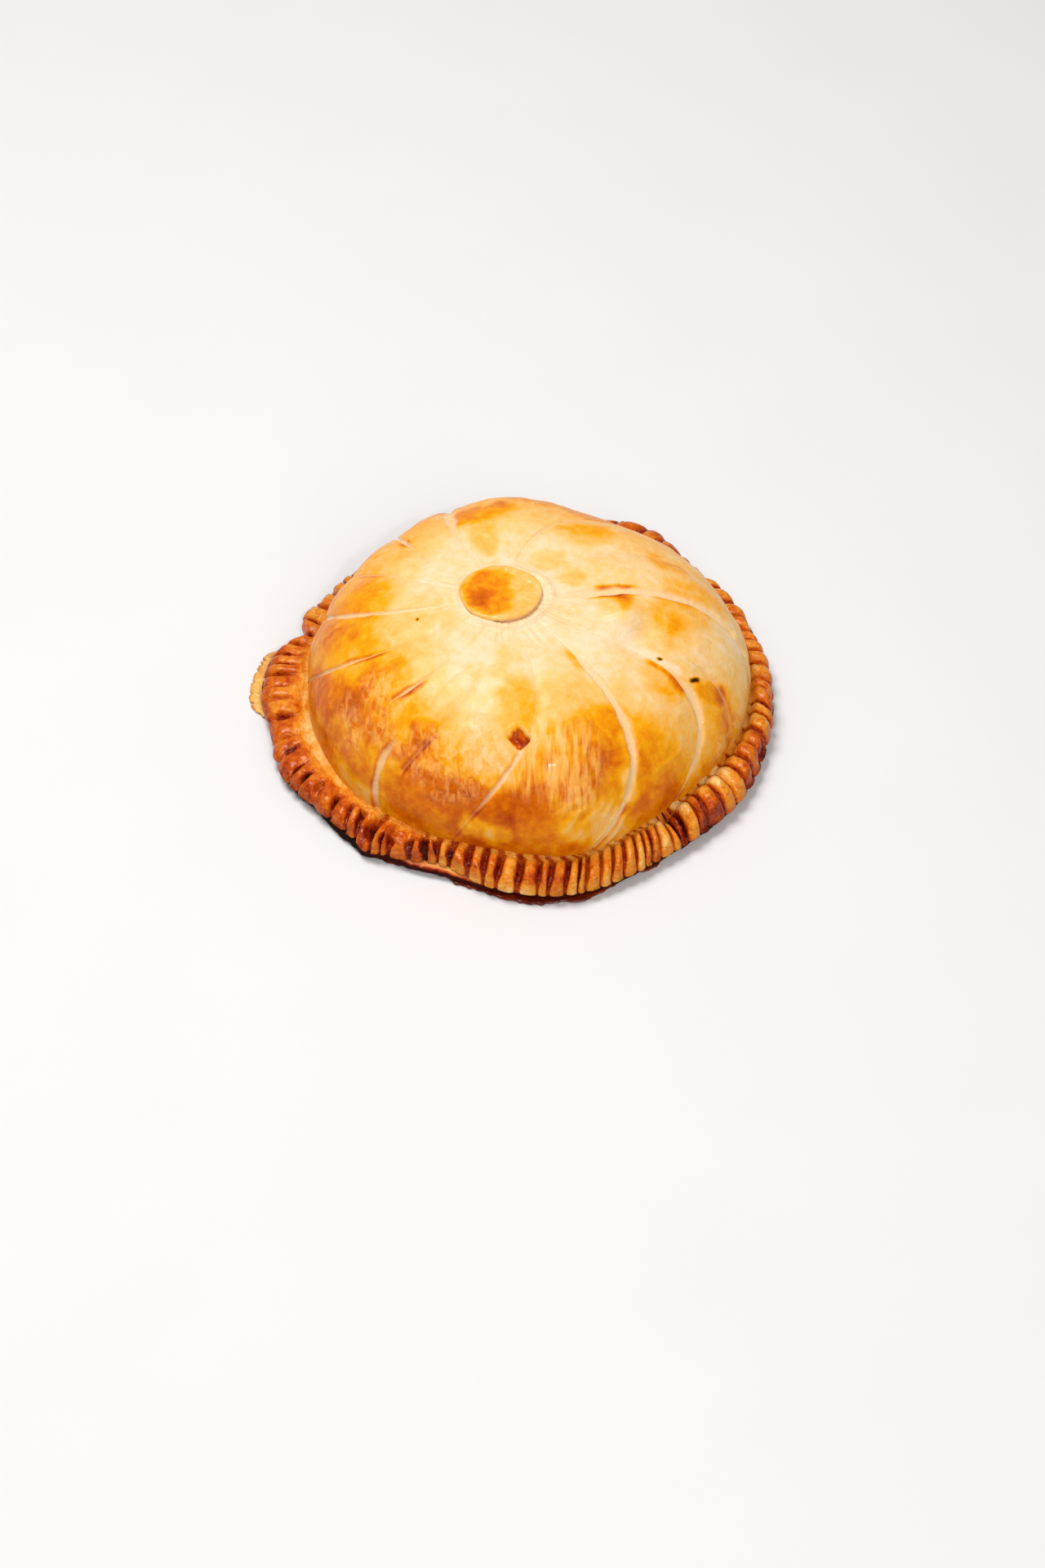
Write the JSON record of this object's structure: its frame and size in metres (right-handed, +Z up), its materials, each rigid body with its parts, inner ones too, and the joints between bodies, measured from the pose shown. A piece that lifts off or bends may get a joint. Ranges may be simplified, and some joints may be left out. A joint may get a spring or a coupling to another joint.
{
  "type": "cheese en croute",
  "caption": "Round cheese baked in puff pastry: a domed golden lid scored in curved cuts from a pastry button, crimped round its edge to a flat pastry base.",
  "frame": {"origin": "middle of the flat underside, on the surface the pie stands on", "axes": "+Z up; +Y from the pictured front to the back; +X to the right as pictured"},
  "size_m": [0.147, 0.1433, 0.0441],
  "materials": {
    "crust": "egg-washed golden puff pastry, browner at the foot",
    "pale_crust": "pale baked pastry",
    "juices": "glossy baked-on juices",
    "cheese": "crisp golden cheese",
    "button": "egg-washed golden pastry"
  },
  "bodies": {
    "root": {"crust_lid": "crust", "bottom_sheet": "pale_crust", "baked_juices": "juices", "cheese_frill": "cheese", "pastry_button": "button"}
  },
  "joints": []
}
